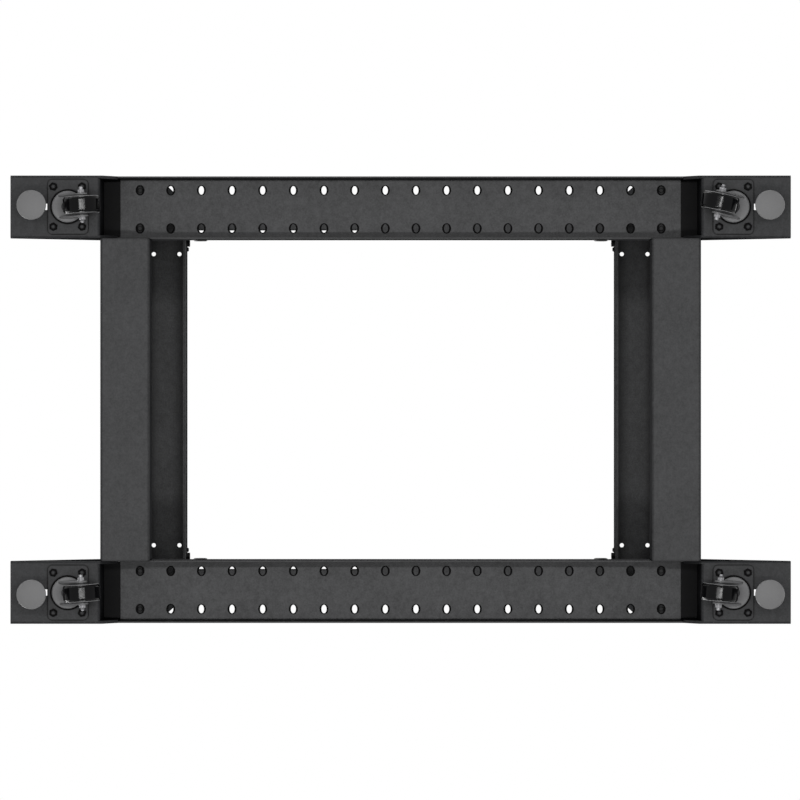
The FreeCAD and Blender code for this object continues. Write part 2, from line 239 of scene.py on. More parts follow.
def grain_group() -> bpy.types.NodeTree:
    """Fine grain of a sprayed or moulded surface.

    Returns:
        A group that puts out Height for bump and Mottle for colour and roughness.
    """
    group = Group("surface_grain")
    fine, coarse = group.noise(1300.0, 2.0), group.noise(110.0, 6.0, 0.72)
    speck, cloud = group.noise(420.0, 2.0, 0.6), group.noise(16.0, 2.0)
    group.number_out("Height", group.math("ADD", fine, group.math("MULTIPLY", coarse, 0.6)))
    patches = group.math("MULTIPLY", group.ramp(coarse, 0.34, 0.66), 0.5)
    specks = group.math("MULTIPLY", group.ramp(speck, 0.34, 0.66), 0.35)
    drift = group.math("MULTIPLY", group.ramp(cloud, 0.35, 0.65), 0.15)
    group.number_out("Mottle", group.math("ADD", group.math("ADD", patches, specks), drift))
    return group.tree


def painted_edge_group() -> bpy.types.NodeTree:
    """Mask of edges and folds, found from how the surface turns within a small radius, in noise patches unless
    Evenness is 1; mixed towards a darker edge colour, it paints shade along them.

    Returns:
        A group with the inputs Amount, Evenness and Reach and the output Mask.
    """
    group = Group("painted_edge_tone")
    amount = group.number_in("Amount", 0.5)
    even = group.number_in("Evenness", 0.0)
    reach = group.number_in("Reach", 0.001)
    rounded = group.add("Bevel", {"Radius": reach}, samples=6).outputs["Normal"]
    flat = group.add("NewGeometry").outputs["Normal"]
    turn = group.add("VectorMath", {0: rounded, 1: flat}, operation="DOT_PRODUCT").outputs["Value"]
    bare = group.ramp(group.math("SUBTRACT", 1.0, turn), 0.004, 0.10)
    patch = group.ramp(group.noise(60.0, 4.0, 0.65), 0.42, 0.62)
    spread = group.math("MULTIPLY", bare, group.math("MAXIMUM", patch, even))
    group.number_out("Mask", group.math("MULTIPLY", spread, amount))
    return group.tree


def hollow_shade_group() -> bpy.types.NodeTree:
    """Painted shade in deep hollows, found from how closed in the surface is within a reach.

    Returns:
        A group with the inputs Amount and Reach and the output Mask.
    """
    group = Group("painted_shade_in_hollows")
    amount = group.number_in("Amount", 0.5)
    reach = group.number_in("Reach", 0.1)
    closed = group.add("AmbientOcclusion", {"Distance": reach}, samples=8).outputs["AO"]
    depth = group.ramp(group.math("SUBTRACT", 1.0, closed), 0.18, 0.50)
    group.number_out("Mask", group.math("MULTIPLY", depth, amount))
    return group.tree


def dust_group() -> bpy.types.NodeTree:
    """Thin dust on what faces up.

    Returns:
        A group with the input Amount and the output Mask.
    """
    group = Group("settled_dust")
    amount = group.number_in("Amount", 0.2)
    split = group.add("SeparateXYZ", {"Vector": group.add("TexCoord").outputs["Normal"]})
    facing = group.ramp(split.outputs["Z"], 0.55, 0.95)
    patch = group.ramp(group.noise(34.0, 5.0, 0.7), 0.35, 0.75)
    group.number_out("Mask", group.math("MULTIPLY", group.math("MULTIPLY", facing, patch), amount))
    return group.tree


# ------------------------------------------------------------------ finishes
@dataclass(frozen=True)
class Finish:
    """What a surface is covered with, its dust, and the tone painted along its edges and folds and in its hollows.
    """

    name: str
    colour: Colour
    # edge: the colour that edges, folds and hollows are painted towards; darker than the colour, as painted shade,
    # except on the grey pad, where it is lighter
    edge: Colour
    slot: Slot = Slot.FRAME
    metallic: float = 0.0
    roughness: float = 0.55
    mottle: float = 0.25
    bump: float = 0.15
    # how strongly, how evenly and how far in edges and folds are painted towards the edge colour
    painted_edge_amount: float = 0.6
    painted_edge_evenness: float = 0.0
    painted_edge_reach: float = 0.0012
    # how strongly and how far the shade painted in hollows reaches
    hollow_shade: float = 0.0
    hollow_shade_reach: float = 0.12
    coat: float = 0.0
    dust: float = 0.08
    specular: float = 0.3


POWDER = Finish("black_powder_coat", (0.040, 0.0405, 0.042), (0.005, 0.005, 0.0055), roughness=0.50,
                mottle=0.48, bump=0.30, painted_edge_amount=0.9, painted_edge_evenness=0.9, painted_edge_reach=0.0022, dust=0.06,
                specular=0.0, coat=0.35)
# the rails' copy of the powder coat is lighter: painted light
LIT_RAIL_COAT = replace(POWDER, name="black_powder_coat_rails_painted_light", colour=(0.056, 0.0565, 0.0585))
# the feet's copy is darker, as painted shade, with painted shade in their hollows
SHADED_FOOT_COAT = replace(POWDER, name="black_powder_coat_feet_painted_shade", colour=(0.0215, 0.022, 0.0235), mottle=0.60,
                    painted_edge_amount=0.2, painted_edge_reach=0.0008, hollow_shade=0.66, hollow_shade_reach=0.05)
# painted shade in the posts' hollows and along their edges
POST_COAT = replace(POWDER, name="black_powder_coat_posts", painted_edge_amount=0.7, painted_edge_reach=0.0016,
                    hollow_shade=0.75, hollow_shade_reach=0.15)
# the base channels' copy is darker, as painted shade, with wide painted shade along their edges and lips
SHADED_CROSS_COAT = replace(POWDER, name="black_powder_coat_base_channels_painted_shade", colour=(0.035, 0.0355, 0.037),
                     edge=(0.0015, 0.0015, 0.002), painted_edge_amount=1.0, painted_edge_evenness=1.0, painted_edge_reach=0.0042)
# painted shade along the top channels' edges and lips, and near their walls
TOP_COAT = replace(POWDER, name="black_powder_coat_top_channels", colour=(0.042, 0.0425, 0.044),
                   mottle=0.60, edge=(0.0015, 0.0015, 0.002), painted_edge_amount=1.0, painted_edge_evenness=1.0,
                   painted_edge_reach=0.0036, hollow_shade=0.95, hollow_shade_reach=0.034)
# painted shade along the plate's edges
PLATE = replace(POWDER, name="black_pressed_plate", colour=(0.027, 0.0275, 0.029), painted_edge_amount=1.0,
                painted_edge_evenness=1.0, painted_edge_reach=0.0030, edge=(0.003, 0.003, 0.0035))
BLACKENED = Finish("blackened_steel", (0.008, 0.008, 0.0085), (0.003, 0.003, 0.003), metallic=0.2,
                   roughness=0.46, mottle=0.35, bump=0.12, painted_edge_amount=1.0, painted_edge_evenness=1.0,
                   painted_edge_reach=0.0016, dust=0.03, specular=0.12)
# near-black for the frame round each caster plate and the ring round each crown, both painting shade
SHADE_BLACK = Finish("painted_shade_black", (0.004, 0.004, 0.004), (0.003, 0.003, 0.003), roughness=0.8,
                mottle=0.3, bump=0.1, painted_edge_amount=0.3, dust=0.0, specular=0.05)
# near-black for the plate nuts, and for the slot rims, where it paints the shade in the slots' recesses
OXIDE_AND_SHADE = replace(SHADE_BLACK, name="black_oxide_and_painted_shade")
PRESSED = Finish("dull_zinc", (0.165, 0.165, 0.168), (0.10, 0.10, 0.102), Slot.ZINC, metallic=0.1,
                 roughness=0.55, mottle=0.14, bump=0.10, painted_edge_amount=0.6, painted_edge_evenness=0.6, dust=0.04)
ZINC = Finish("bright_zinc", (0.30, 0.30, 0.31), (0.16, 0.16, 0.165), Slot.ZINC, metallic=0.5,
              roughness=0.40, mottle=0.18, bump=0.06, painted_edge_amount=0.7, painted_edge_evenness=0.7, dust=0.04,
              specular=0.2)
PAD = Finish("grey_moulding", (0.165, 0.165, 0.167), (0.21, 0.21, 0.21), Slot.PAD, roughness=0.55,
             mottle=0.07, bump=0.08, painted_edge_amount=0.5, painted_edge_evenness=0.5, dust=0.05)
NYLON = Finish("black_nylon", (0.003, 0.003, 0.0035), (0.002, 0.002, 0.002), Slot.WHEEL,
               roughness=0.11, mottle=0.25, bump=0.01, painted_edge_amount=0.4, dust=0.03, specular=0.10)
# near-black of the strip that paints the shade inside the hollow posts
SHADE_STRIP_BLACK = Finish("painted_shade_strip_black", (0.0125, 0.0125, 0.0128), (0.006, 0.006, 0.006), roughness=0.8,
                 mottle=0.15, bump=0.10, painted_edge_amount=0.3, dust=0.03, specular=0.05)
NODE_FINISHES = {
    "caster_plate": PLATE, "caster_axle": PRESSED, "caster_fork": PRESSED, "caster_wheel": NYLON,
    "wheel_guards": NYLON, "levelling_foot": PAD, "foot": SHADED_FOOT_COAT, "post": POST_COAT,
    "top_cross": TOP_COAT, "base_cross": SHADED_CROSS_COAT, "side_rail": LIT_RAIL_COAT, "top_rail": LIT_RAIL_COAT}


@dataclass
class Finishes:
    """Makes each finish's material once."""

    dust_colour: tuple[float, ...] = (0.30, 0.29, 0.27, 1.0)
    gloss_start: float = 0.35
    gloss_end: float = 0.80
    smoother: float = 0.05
    rougher: float = 0.07
    bump_depth: float = 0.0002

    def __post_init__(self) -> None:
        """Builds the shared node groups."""
        self.grain = grain_group()
        self.edges = painted_edge_group()
        self.dust = dust_group()
        self.hollow_shade = hollow_shade_group()
        self.made: dict[str, bpy.types.Material] = {}

    def material(self, finish: Finish) -> bpy.types.Material:
        """Gives the material of a finish.

        Args:
            finish: the finish.

        Returns:
            Its material, built on first use.
        """
        if finish.name not in self.made:
            self.made[finish.name] = self._build(finish)
        return self.made[finish.name]

    def _colour(self, graph: Graph, finish: Finish, mottle: Socket) -> Socket:
        """Mottles a finish's colour, paints its hollows and its edges and folds towards the edge colour, and adds
        dust.

        Args:
            graph: the material's nodes.
            finish: the finish.
            mottle: the socket of the mottle.

        Returns:
            The colour's socket.
        """
        edge = finish.edge + (1.0,)
        painted_edge = {"Amount": finish.painted_edge_amount, "Evenness": finish.painted_edge_evenness, "Reach": finish.painted_edge_reach}
        edges = graph.add("Group", painted_edge, node_tree=self.edges)
        dust = graph.add("Group", {"Amount": finish.dust}, node_tree=self.dust)
        dark, light = (tuple(min(1.0, share * (1.0 + change)) for share in finish.colour) + (1.0,)
                       for change in (-finish.mottle, finish.mottle))
        colour = graph.mix(mottle, dark, light)
        if finish.hollow_shade > 0:
            depth = {"Amount": finish.hollow_shade, "Reach": finish.hollow_shade_reach}
            hollow_shade = graph.add("Group", depth, node_tree=self.hollow_shade)
            # painted shade in hollows, in the edge colour
            colour = graph.mix(hollow_shade.outputs["Mask"], colour, edge)
        # edges and folds painted towards the edge colour, mostly as shade
        colour = graph.mix(edges.outputs["Mask"], colour, edge)
        return graph.mix(dust.outputs["Mask"], colour, self.dust_colour)

    def _gloss(self, graph: Graph, finish: Finish) -> Socket:
        """The satin gloss of a powder coat, which fades towards grazing angles.

        Args:
            graph: the material's nodes.
            finish: the finish.

        Returns:
            The socket of the coat's weight.
        """
        facing = graph.add("LayerWeight").outputs["Facing"]
        return graph.add("MapRange", {
            "Value": facing, "From Min": self.gloss_start, "From Max": self.gloss_end,
            "To Min": finish.coat, "To Max": 0.0}).outputs["Result"]

    def _build(self, finish: Finish) -> bpy.types.Material:
        """Builds a finish's material.

        Args:
            finish: the finish.

        Returns:
            The new material.
        """
        material = bpy.data.materials.new(finish.name)
        material.use_nodes = True
        graph = Graph(material.node_tree)
        shader = graph.tree.nodes["Principled BSDF"]
        shader.inputs["Metallic"].default_value = finish.metallic
        shader.inputs["Specular IOR Level"].default_value = finish.specular
        grain = graph.add("Group", node_tree=self.grain)
        mottle = grain.outputs["Mottle"]
        rough = graph.add("MapRange", {"Value": mottle, "To Min": finish.roughness - self.smoother,
                                       "To Max": finish.roughness + self.rougher})
        bump = graph.add("Bump", {"Height": grain.outputs["Height"], "Strength": finish.bump,
                                  "Distance": self.bump_depth})
        feeds = {"Base Color": self._colour(graph, finish, mottle), "Roughness": rough.outputs["Result"],
                 "Normal": bump.outputs["Normal"]}
        if finish.coat > 0:
            shader.inputs["Coat Roughness"].default_value = finish.roughness
            feeds["Coat Weight"] = self._gloss(graph, finish)
        for name, source in feeds.items():
            graph.tree.links.new(source, shader.inputs[name])
        return material


# ------------------------------------------------------------------ hand tools
class Bench:
    """Hand tools that start a mesh from a primitive and shape it in edit mode."""

    @staticmethod
    def clear() -> None:
        """Deselects everything."""
        bpy.ops.object.select_all(action="DESELECT")

    @staticmethod
    def only(piece: Piece) -> None:
        """Makes a piece the only selected and the active one.

        Args:
            piece: the piece.
        """
        Bench.clear()
        piece.select_set(True)
        bpy.context.view_layer.objects.active = piece

    @staticmethod
    @contextmanager
    def editing(piece: Piece, select: str = "DESELECT") -> Iterator[None]:
        """Edit mode on one piece.

        Args:
            piece: the piece to edit.
            select: DESELECT for nothing selected at first, SELECT for everything.
        """
        Bench.only(piece)
        bpy.ops.object.mode_set(mode="EDIT")
        bpy.ops.mesh.select_all(action=select)
        yield
        bpy.ops.object.mode_set(mode="OBJECT")

    @staticmethod
    def pick(piece: Piece, element: Element, wanted: Callable[[object], bool]) -> None:
        """Selects, in edit mode, only the faces or the edges that are wanted.

        Args:
            piece: the piece being edited.
            element: faces or edges.
            wanted: says of each whether it is wanted.
        """
        bpy.ops.mesh.select_all(action="DESELECT")
        bpy.ops.mesh.select_mode(type=element.value)
        mesh = bmesh.from_edit_mesh(piece.data)
        for each in mesh.faces if element is Element.FACE else mesh.edges:
            each.select_set(wanted(each))
        bmesh.update_edit_mesh(piece.data)

    @staticmethod
    def rod(name: str, radius: float, low: float, high: float, sides: int) -> Piece:
        """An upright round or many-sided bar.

        Args:
            name: the piece's name.
            radius: distance from the middle to a corner.
            low: height of the lower end.
            high: height of the upper end.
            sides: number of sides.

        Returns:
            The new piece.
        """
        Bench.clear()
        bpy.ops.mesh.primitive_cylinder_add(vertices=sides, radius=radius, depth=high - low,
                                            location=(0, 0, (low + high) / 2))
        piece = bpy.context.active_object
        piece.name = name
        bpy.ops.object.transform_apply(location=True, rotation=True, scale=True)
        return piece

    @staticmethod
    def turned(name: str, profile: Outline, steps: int, smooth: float = 0.0) -> Piece:
        """A turned piece, made by spinning an outline about the Z axis.

        Args:
            name: the piece's name.
            profile: radius and height of each point of the outline, upwards.
            steps: number of sides.
            smooth: edges that turn by fewer degrees are shaded smooth.

        Returns:
            The new piece.
        """
        Bench.clear()
        bpy.ops.mesh.primitive_plane_add(size=0.001)
        piece = bpy.context.active_object
        piece.name = name
        with Bench.editing(piece, "SELECT"):
            bpy.ops.mesh.merge(type="CENTER")
            bpy.ops.mesh.select_mode(type="VERT")
            bpy.ops.mesh.select_all(action="SELECT")
            radius, height = profile[0]
            bpy.ops.transform.translate(value=(radius, 0, height))
            for next_radius, next_height in profile[1:]:
                step = (next_radius - radius, 0, next_height - height)
                bpy.ops.mesh.extrude_region_move(TRANSFORM_OT_translate={"value": step})
                radius, height = next_radius, next_height
            bpy.ops.mesh.select_all(action="SELECT")
            bpy.ops.mesh.spin(steps=steps, angle=2 * math.pi, center=(0, 0, 0), axis=(0, 0, 1))
            bpy.ops.mesh.select_all(action="SELECT")
            bpy.ops.mesh.remove_doubles(threshold=1e-6)
            bpy.ops.mesh.normals_make_consistent(inside=False)
        return Bench.smooth(piece, smooth) if smooth else piece

    @staticmethod
    def threaded(name: str, radius: float, ends: tuple[float, float], pitch: float, steps: int) -> Piece:
        """An upright threaded rod, its thread cut as rings.

        Args:
            name: the rod's name.
            radius: outer radius of the thread.
            ends: height of the lower and the upper end.
            pitch: distance from ring to ring.
            steps: number of sides.

        Returns:
            The rod.
        """
        low, high = ends
        root = radius - 0.6 * pitch
        turns = max(1, int((high - low) / pitch) - 1)
        profile = [(0.0, low), (root, low)]
        for index in range(turns):
            base = low + index * pitch
            profile += [(radius, base + 0.45 * pitch), (radius, base + 0.60 * pitch), (root, base + pitch)]
        profile += [(root, high - 0.3 * pitch), (root * 0.85, high), (0.0, high)]
        return Bench.turned(name, profile, steps)

    @staticmethod
    def bevel(piece: Piece, width: float, segments: int, angle: float = 40.0) -> Piece:
        """Rounds the sharp edges of a piece.

        Args:
            piece: the piece.
            width: width of the rounding.
            segments: faces across it.
            angle: edges that turn by more degrees than this are rounded.

        Returns:
            The piece.
        """
        Bench.only(piece)
        rounding = piece.modifiers.new("rounding", "BEVEL")
        rounding.width = width
        rounding.segments = segments
        rounding.limit_method = "ANGLE"
        rounding.angle_limit = math.radians(angle)
        bpy.ops.object.modifier_apply(modifier=rounding.name)
        return piece

    @staticmethod
    def smooth(piece: Piece, angle: float) -> Piece:
        """Shades a piece smooth across edges that turn by less than an angle in degrees.

        Args:
            piece: the piece.
            angle: the angle.

        Returns:
            The piece.
        """
        Bench.only(piece)
        bpy.ops.object.shade_smooth_by_angle(angle=math.radians(angle))
        return piece

    @staticmethod
    def join(name: str, pieces: Sequence[Piece]) -> Piece:
        """Joins pieces into one.

        Args:
            name: the joined piece's name.
            pieces: the pieces, which are used up.

        Returns:
            The joined piece.
        """
        Bench.clear()
        for piece in pieces:
            piece.select_set(True)
        bpy.context.view_layer.objects.active = pieces[0]
        if len(pieces) > 1:
            bpy.ops.object.join()
        joined = bpy.context.active_object
        joined.name = name
        joined.data.name = name
        return joined

    @staticmethod
    def copy(pattern: Piece, place: Matrix) -> Piece:
        """A copy of a pattern with its own mesh, put in place through its points.

        Args:
            pattern: the pattern piece.
            place: where the copy goes.

        Returns:
            The copy.
        """
        mesh = pattern.data.copy()
        mesh.transform(place)
        piece = bpy.data.objects.new(pattern.name, mesh)
        bpy.context.scene.collection.objects.link(piece)
        return piece

    @staticmethod
    def seat(point: Vector, outwards: Vector, turn: float = 0.0) -> Matrix:
        """Place of a piece whose seat lies on a surface.

        Args:
            point: where its seat goes.
            outwards: the direction that the surface faces.
            turn: its turn about that direction, in degrees.

        Returns:
            The place as a matrix.
        """
        turned = outwards.to_track_quat("Z", "Y").to_matrix().to_4x4()
        return Matrix.Translation(point) @ turned @ Matrix.Rotation(math.radians(turn), 4, "Z")


def joint(name: str) -> dict:
    """The record's entry for a joint."""
    return next(entry for entry in frame["joints"] if entry["name"] == name)


def slot_places(side: str) -> tuple[list[float], list[float]]:
    """Where the slots of a side rail lie.

    Args:
        side: left or right.

    Returns:
        The X of its two rows, from the middle outwards, and the Y of each pair, from front to rear.
    """
    stated = next(mount for mount in frame["record"]["mounts"] if mount["name"] == "rail_slots_" + side)
    spread = stated["dims"]["spacing_x_mm"] / (2 * MILLIMETRES)
    pitch = stated["dims"]["spacing_y_mm"] / MILLIMETRES
    count = int(2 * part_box("side_rail_" + side)[1].y / pitch)
    centre = stated["pos_m"][0]
    rows = sorted((centre - spread, centre + spread), key=abs)
    return rows, [(index - (count - 1) / 2) * pitch for index in range(count)]


class Workshop:
    """Puts patterns in place and finishes them: name, finish and body."""

    def __init__(self, finishes: Finishes) -> None:
        """Keeps the finishes at hand."""
        self.finishes = finishes

    def make(self, name: str, finish: Finish, body: str, parts: Sequence[tuple[Piece, Matrix]],
             replaced: str = "") -> None:
        """Makes one piece from patterns and lets it ride on its body.

        Args:
            name: the piece's name.
            finish: what covers it.
            body: the body that carries it.
            parts: each pattern with its copy's place. The patterns are used up.
            replaced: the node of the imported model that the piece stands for, if any.
        """
        copies = [Bench.copy(pattern, place) for pattern, place in parts]
        for pattern in dict.fromkeys(pattern for pattern, _ in parts):
            bpy.data.objects.remove(pattern)
        piece = Bench.join(name, copies)
        piece.data.materials.clear()
        piece.data.materials.append(self.finishes.material(finish))
        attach(piece, body)
        if replaced:
            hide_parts(replaced)
        LOG.info("%s: %d faces, rides on %s", name, len(piece.data.polygons), body)

    def dress(self, node: str) -> None:
        """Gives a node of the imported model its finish.

        Args:
            node: the node's name.
        """
        finish = next(NODE_FINISHES[start] for start in NODE_FINISHES if node.startswith(start))
        for place in frame["nodes"][node].material_slots:
            place.material = self.finishes.material(finish)


# ------------------------------------------------------------------ fasteners
@dataclass
class Fasteners:
    """Hexagon bolts, nuts and round heads of the frame. Turns are in degrees."""

    workshop: Workshop
    sheet: float = 0.0020
    bolt_radius: float = 0.0030
    hex_flats: float = 0.0100
    hex_cut: float = 0.13                   # turned off the corners, as a share of their radius
    hex_dome: float = 0.10                  # rise of the turned top, as a share of the height
    head_height: float = 0.0040
    nut_height: float = 0.0050
    thread_pitch: float = 0.0010
    washer_radius: float = 0.0062
    washer_height: float = 0.0012
    washer_rounding: float = 0.25           # share of its height
    shank_rounding: float = 0.15            # share of its radius
    post_shank_short: float = 0.0005
    post_turns: tuple[float, float] = (17.0, 43.0)
    top_shank: float = 0.0040
    top_nut_proud: float = 0.0030
    tab_spread: float = 0.0140
    tab_bolt_turn: float = 20.0
    tab_nut_turn: float = 50.0
    # inwards from the tab's inner edge, and up from the channel's foot
    flange_bolt: tuple[float, float] = (0.0083, 0.0260)
    flange_button: tuple[float, float] = (0.0174, 0.0440)
    flange_bolt_turn: float = 8.0
    rail_head_radius: float = 0.0105
    rail_head_height: float = 0.0022
    rail_head_pair: int = 3                 # pairs of slots from the rail's end
    button_radius: float = 0.0036
    button_height: float = 0.0030

    def hex_block(self, name: str, low: float, high: float) -> Piece:
        """A hexagon with its outer corners turned off.

        Args:
            name: the block's name.
            low: height of its seat.
            high: height of its top.

        Returns:
            The block.
        """
        corner = self.hex_flats / math.sqrt(3)
        block = Bench.rod(name, corner, low, high, 6)
        with Bench.editing(block):
            Bench.pick(block, Element.FACE, lambda face: face.normal.z > 0.9)
            bpy.ops.mesh.inset(thickness=corner * self.hex_cut)
            bpy.ops.transform.translate(value=(0, 0, (high - low) * self.hex_dome))
        return block

    def washer(self) -> Piece:
        """A flat washer on the seat."""
        ring = Bench.rod("washer", self.washer_radius, 0.0, self.washer_height, 24)
        return Bench.bevel(ring, self.washer_height * self.washer_rounding, 1, 60.0)

    def bolt(self, shank: float) -> Piece:
        """A hexagon bolt with a washer under its head.

        Args:
            shank: length of the shank below the seat.

        Returns:
            The bolt, with its seat at the origin and its head up.
        """
        low = self.washer_height
        head = self.hex_block("head", low, low + self.head_height)
        pin = Bench.rod("shank", self.bolt_radius, -shank, low, 16)
        Bench.bevel(pin, self.bolt_radius * self.shank_rounding, 1, 60.0)
        return Bench.join("bolt", [head, self.washer(), pin])

    def nut(self, proud: float) -> Piece:
        """A hexagon nut on a washer, with the threaded end that stands out of it.

        Args:
            proud: how far the thread stands out.

        Returns:
            The nut, with its seat at the origin.
        """
        low, top = self.washer_height, self.washer_height + self.nut_height
        block = self.hex_block("nut", low, top)
        stub = Bench.threaded("stub", self.bolt_radius, (0.0, top + proud), self.thread_pitch, 14)
        return Bench.join("nut", [block, self.washer(), stub])

    def rail_head(self) -> Piece:
        """Makes the low round head of a side rail.

        Returns:
            The head, with a chamfered rim and a flat top.
        """
        r, h = self.rail_head_radius, self.rail_head_height
        return Bench.turned("rail_head", [(0.0, 0.0), (r, 0.0), (r * 0.98, h * 0.27), (r * 0.78, h * 0.9),
                                          (r * 0.70, h), (0.0, h)], 36)

    def button(self) -> Piece:
        """Makes a small button head.

        Returns:
            The head, domed.
        """
        r, h = self.button_radius, self.button_height
        return Bench.turned("button", [(0.0, 0.0), (r, 0.0), (r, h * 0.3), (r * 0.85, h * 0.75),
                                       (r * 0.55, h), (0.0, h)], 18)

    def fit_post(self, corner: Corner) -> None:
        """Bolts a post's sole to its side rail, through the rail's last pair of slots.

        Args:
            corner: the post's corner.
        """
        rows, places = slot_places(corner.side_name)
        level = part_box("post_" + corner.value)[0].z + self.sheet
        bolt = self.bolt(2 * self.sheet - self.post_shank_short)
        parts = [(bolt, Bench.seat(Vector((x, corner.end * places[-1], level)), UP, turn))
                 for x, turn in zip(rows, self.post_turns)]
        self.workshop.make("post_bolts_" + corner.value, BLACKENED, "frame", parts)

    def fit_top(self, corner: Corner) -> None:
        """Bolts the end tab of a top side rail to the post, and the top channel's flange.

        Args:
            corner: the post's corner.
        """
        low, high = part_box("top_cross_" + corner.end_name)
        member = "top_rail_inner_" if corner.end < 0 else "top_rail_outer_"
        tab_low, tab_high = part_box(member + corner.side_name)
        inwards = Vector((0, -corner.end, 0))
        tab_face = (tab_low.y if corner.end < 0 else tab_high.y) - corner.end * self.sheet
        flange = high.y if corner.end < 0 else low.y
        edge = corner.side * min(abs(tab_low.x), abs(tab_high.x))
        tab_middle, level = (tab_low.x + tab_high.x) / 2, (tab_low.z + tab_high.z) / 2
        bolt, nut, button = self.bolt(self.top_shank), self.nut(self.top_nut_proud), self.button()
        parts = []
        for way in SQUARE:
            point = Vector((tab_middle, tab_face, level + way * self.tab_spread))
            behind = point - inwards * (2 * self.sheet)
            parts.append((bolt, Bench.seat(point, inwards, self.tab_bolt_turn)))
            parts.append((nut, Bench.seat(behind, -inwards, self.tab_nut_turn)))
        for pattern, (beside, above), turn in ((bolt, self.flange_bolt, self.flange_bolt_turn),
                                               (button, self.flange_button, 0.0)):
            point = Vector((edge - corner.side * beside, flange, low.z + above))
            parts.append((pattern, Bench.seat(point, inwards, turn)))
        self.workshop.make("top_bolts_" + corner.value, BLACKENED, "frame", parts)

    def fit_rail(self, corner: Corner) -> None:
        """Puts the low round head on a side rail's inner flange, beside the third last pair of slots.

        Args:
            corner: the nearest corner.
        """
        low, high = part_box("side_rail_" + corner.side_name)
        along = slot_places(corner.side_name)[1][-self.rail_head_pair]
        face = high.x if corner.side < 0 else low.x
        point = Vector((face, corner.end * along, (low.z + high.z) / 2))
        place = Bench.seat(point, Vector((-corner.side, 0, 0)))
        self.workshop.make("rail_head_" + corner.value, BLACKENED, "frame", [(self.rail_head(), place)])


@dataclass
class ShadeStrip:
    """Black strip under a post, between the foot's plate and the side rail, which paints the shade inside the
    hollow post.
    """

    workshop: Workshop
    sheet: float = 0.0020
    wall: float = 0.0040
    play: float = 0.0003
    rounding: float = 0.0004
    sunk: float = 0.75                      # its middle below the rail's top, in sheets

    def fit(self, corner: Corner) -> None:
        """Makes the strip of one foot.

        Args:
            corner: the foot's corner.
        """
        rail_low, rail_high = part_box("side_rail_" + corner.side_name)
        post_low, post_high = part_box("post_" + corner.value)
        near = rail_high.y + self.play
        far = max(abs(post_low.y), abs(post_high.y)) - self.play
        low_x, high_x = rail_low.x + self.wall + self.play, rail_high.x - self.wall - self.play
        strip = Bench.rod("strip", math.sqrt(0.5), -0.5, 0.5, 4)
        with Bench.editing(strip, "SELECT"):
            bpy.ops.transform.rotate(value=math.pi / 4, orient_axis="Z", center_override=(0, 0, 0))
            bpy.ops.transform.resize(value=(high_x - low_x, far - near, self.sheet))
        Bench.bevel(strip, self.rounding, 2)
        centre = ((low_x + high_x) / 2, corner.end * (near + far) / 2, rail_high.z - self.sunk * self.sheet)
        parts = [(strip, Matrix.Translation(centre))]
        self.workshop.make("shade_strip_" + corner.value, SHADE_STRIP_BLACK, "frame", parts)


@dataclass
class SlotRims:
    """Dark oval rims under the slots of a side rail, which paint the shade in the slots' recesses."""

    workshop: Workshop
    sheet: float = 0.0020
    length: float = 0.0142
    width: float = 0.0122
    eye_length: float = 0.0116
    eye_width: float = 0.0070
    first_inset: float = 0.0012
    proud: float = 0.0004
    sunk: float = 0.00004                   # into the rail's sheet
    steps: int = 24

    def rim(self) -> Piece:
        """Makes one rim.

        Returns:
            The rim, its seat at the origin, standing out downwards.
        """
        ring = Bench.rod("rim", self.width / 2, -self.proud, self.sunk, self.steps)
        cut = 2 * self.first_inset
        eye = (self.eye_length / (self.length - cut), self.eye_width / (self.width - cut), 1.0)
        with Bench.editing(ring, "SELECT"):
            bpy.ops.transform.resize(value=(self.length / self.width, 1.0, 1.0))
            Bench.pick(ring, Element.FACE, lambda face: abs(face.normal.z) > 0.9)
            bpy.ops.mesh.inset(thickness=self.first_inset)
            bpy.ops.transform.resize(value=eye)
            bpy.ops.mesh.bridge_edge_loops()
        return ring

    def fit(self, side: str) -> None:
        """Makes the rims of one side rail.

        Args:
            side: left or right.
        """
        rows, places = slot_places(side)
        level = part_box("side_rail_" + side)[1].z - self.sheet
        rim = self.rim()
        parts = [(rim, Matrix.Translation((x, y, level))) for x in rows for y in places]
        self.workshop.make("slot_rims_" + side, OXIDE_AND_SHADE, "frame", parts)


